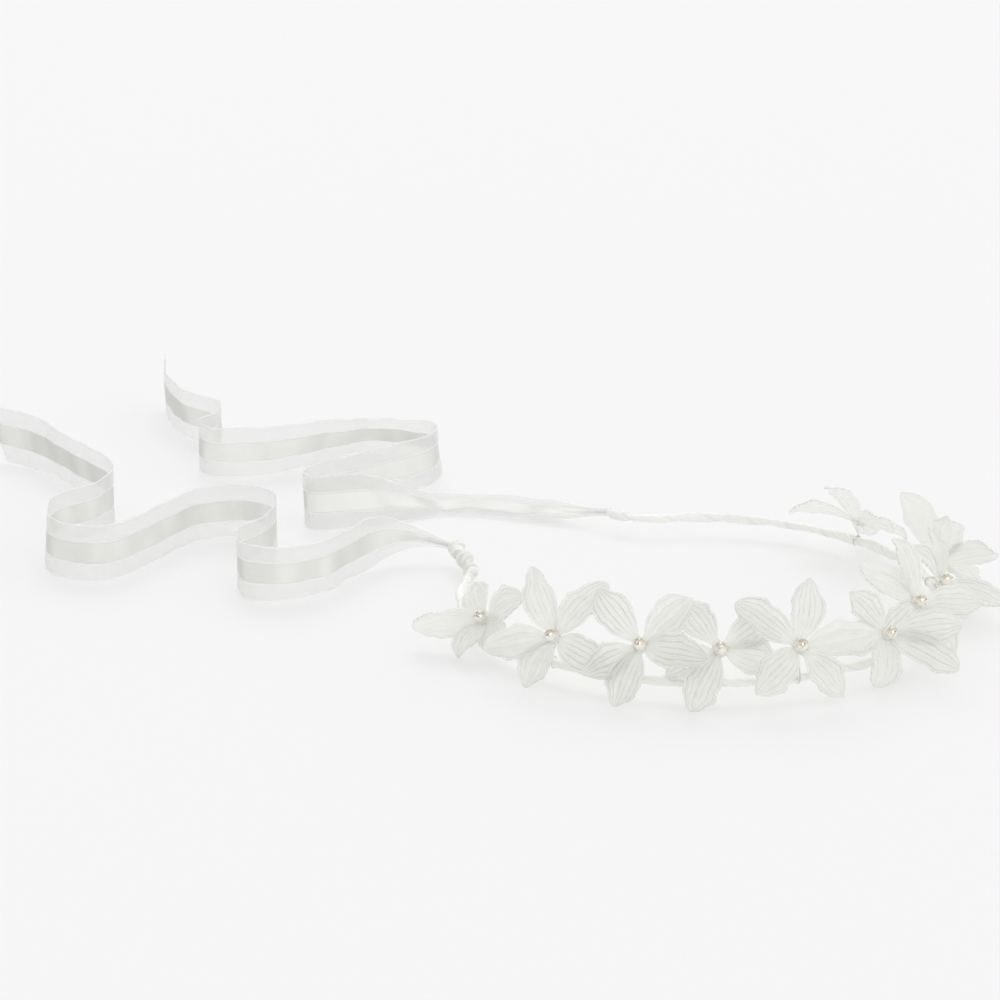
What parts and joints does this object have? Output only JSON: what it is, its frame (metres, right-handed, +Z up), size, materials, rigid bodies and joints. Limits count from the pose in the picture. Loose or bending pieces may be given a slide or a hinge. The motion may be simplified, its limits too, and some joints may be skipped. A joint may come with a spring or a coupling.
{
  "type": "flower crown",
  "caption": "Open wire band wrapped in satin ribbon, with five-petalled embroidered fabric flowers, pearls and two long tie ribbons.",
  "frame": {"origin": "centre of the bounding box's underside, on the table that the crown lies on", "axes": "+Z up off the table; +X from the tie ribbons towards the flowers; +Y from the side with the row of flowers towards the bare side of the band"},
  "size_m": [0.4052, 0.3764, 0.0419],
  "materials": {
    "petal_fabric": "sheer white embroidered fabric with raised cords",
    "pearl": "ivory pearl",
    "stem_wire": "dark silver craft wire",
    "core_wire": "plain spring wire, hidden",
    "satin_wrap": "ivory satin ribbon, wound",
    "tie_ribbon": "sheer organza with a satin centre stripe"
  },
  "bodies": {
    "band": {"band_core_wire": "core_wire", "band_ribbon_wrap": "satin_wrap", "front_binding": "satin_wrap", "rear_binding": "satin_wrap", "flower_01_stem_wire": "stem_wire", "flower_02_stem_wire": "stem_wire", "flower_03_stem_wire": "stem_wire", "flower_04_stem_wire": "stem_wire", "flower_05_stem_wire": "stem_wire", "flower_06_stem_wire": "stem_wire", "flower_07_stem_wire": "stem_wire", "flower_08_stem_wire": "stem_wire", "flower_09_stem_wire": "stem_wire", "flower_10_stem_wire": "stem_wire"},
    "flower_01": {"flower_01_petals": "petal_fabric"},
    "flower_02": {"flower_02_petals": "petal_fabric"},
    "flower_03": {"flower_03_petals": "petal_fabric"},
    "flower_04": {"flower_04_petals": "petal_fabric"},
    "flower_05": {"flower_05_petals": "petal_fabric"},
    "flower_06": {"flower_06_petals": "petal_fabric"},
    "flower_07": {"flower_07_petals": "petal_fabric"},
    "flower_08": {"flower_08_petals": "petal_fabric"},
    "flower_09": {"flower_09_petals": "petal_fabric"},
    "flower_10": {"flower_10_petals": "petal_fabric"},
    "pearl_01": {"flower_01_pearl": "pearl"},
    "pearl_02": {"flower_02_pearl": "pearl"},
    "pearl_03": {"flower_03_pearl": "pearl"},
    "pearl_04": {"flower_04_pearl": "pearl"},
    "pearl_05": {"flower_05_pearl": "pearl"},
    "pearl_06": {"flower_06_pearl": "pearl"},
    "pearl_07": {"flower_07_pearl": "pearl"},
    "pearl_08": {"flower_08_pearl": "pearl"},
    "pearl_09": {"flower_09_pearl": "pearl"},
    "pearl_10": {"flower_10_pearl": "pearl"},
    "front_tie": {"front_tie_ribbon": "tie_ribbon"},
    "rear_tie": {"rear_tie_ribbon": "tie_ribbon"}
  },
  "joints": [
    {"name": "flower_01_turn", "type": "hinge", "parent": "band", "child": "flower_01", "pos_m": [0.01138, -0.13056, 0.014], "axis": [-0.6436, -0.5795, 0.5], "range_deg": [-8, 8]},
    {"name": "flower_02_turn", "type": "hinge", "parent": "band", "child": "flower_02", "pos_m": [0.0357, -0.15955, 0.018], "axis": [-0.4843, -0.718, 0.5], "range_deg": [-8, 8]},
    {"name": "flower_03_turn", "type": "hinge", "parent": "band", "child": "flower_03", "pos_m": [0.0657, -0.17295, 0.02], "axis": [-0.2387, -0.8325, 0.5], "range_deg": [-8, 8]},
    {"name": "flower_04_turn", "type": "hinge", "parent": "band", "child": "flower_04", "pos_m": [0.09328, -0.17683, 0.02], "axis": [0.0151, -0.8659, 0.5], "range_deg": [-8, 8]},
    {"name": "flower_05_turn", "type": "hinge", "parent": "band", "child": "flower_05", "pos_m": [0.12135, -0.17388, 0.02], "axis": [0.2962, -0.8138, 0.5], "range_deg": [-8, 8]},
    {"name": "flower_06_turn", "type": "hinge", "parent": "band", "child": "flower_06", "pos_m": [0.15395, -0.15696, 0.018], "axis": [0.4589, -0.7344, 0.5], "range_deg": [-8, 8]},
    {"name": "flower_07_turn", "type": "hinge", "parent": "band", "child": "flower_07", "pos_m": [0.16715, -0.13317, 0.021], "axis": [0.6824, -0.5332, 0.5], "range_deg": [-8, 5]},
    {"name": "flower_08_turn", "type": "hinge", "parent": "band", "child": "flower_08", "pos_m": [0.18085, -0.10037, 0.017], "axis": [0.803, -0.3244, 0.5], "range_deg": [-8, 8]},
    {"name": "flower_09_turn", "type": "hinge", "parent": "band", "child": "flower_09", "pos_m": [0.18358, -0.07329, 0.016], "axis": [0.4742, 0.7031, 0.5299], "range_deg": [-8, 8]},
    {"name": "flower_10_turn", "type": "hinge", "parent": "band", "child": "flower_10", "pos_m": [0.15828, -0.02578, 0.016], "axis": [0.4132, 0.4924, 0.766], "range_deg": [-8, 8]},
    {"name": "pearl_01_spin", "type": "hinge", "parent": "band", "child": "pearl_01", "pos_m": [0.01138, -0.13056, 0.014], "axis": [-0.6436, -0.5795, 0.5], "continuous": true},
    {"name": "pearl_02_spin", "type": "hinge", "parent": "band", "child": "pearl_02", "pos_m": [0.0357, -0.15955, 0.018], "axis": [-0.4843, -0.718, 0.5], "continuous": true},
    {"name": "pearl_03_spin", "type": "hinge", "parent": "band", "child": "pearl_03", "pos_m": [0.0657, -0.17295, 0.02], "axis": [-0.2387, -0.8325, 0.5], "continuous": true},
    {"name": "pearl_04_spin", "type": "hinge", "parent": "band", "child": "pearl_04", "pos_m": [0.09328, -0.17683, 0.02], "axis": [0.0151, -0.8659, 0.5], "continuous": true},
    {"name": "pearl_05_spin", "type": "hinge", "parent": "band", "child": "pearl_05", "pos_m": [0.12135, -0.17388, 0.02], "axis": [0.2962, -0.8138, 0.5], "continuous": true},
    {"name": "pearl_06_spin", "type": "hinge", "parent": "band", "child": "pearl_06", "pos_m": [0.15395, -0.15696, 0.018], "axis": [0.4589, -0.7344, 0.5], "continuous": true},
    {"name": "pearl_07_spin", "type": "hinge", "parent": "band", "child": "pearl_07", "pos_m": [0.16715, -0.13317, 0.021], "axis": [0.6824, -0.5332, 0.5], "continuous": true},
    {"name": "pearl_08_spin", "type": "hinge", "parent": "band", "child": "pearl_08", "pos_m": [0.18085, -0.10037, 0.017], "axis": [0.803, -0.3244, 0.5], "continuous": true},
    {"name": "pearl_09_spin", "type": "hinge", "parent": "band", "child": "pearl_09", "pos_m": [0.18358, -0.07329, 0.016], "axis": [0.4742, 0.7031, 0.5299], "continuous": true},
    {"name": "pearl_10_spin", "type": "hinge", "parent": "band", "child": "pearl_10", "pos_m": [0.15828, -0.02578, 0.016], "axis": [0.4132, 0.4924, 0.766], "continuous": true},
    {"name": "front_tie_swing", "type": "hinge", "parent": "band", "child": "front_tie", "pos_m": [0.00072, -0.03684, 0.007], "axis": [0, 0, 1], "range_deg": [-8, 40]},
    {"name": "rear_tie_swing", "type": "hinge", "parent": "band", "child": "rear_tie", "pos_m": [0.06172, 0.00516, 0.007], "axis": [0, 0, 1], "range_deg": [-40, 8]}
  ]
}
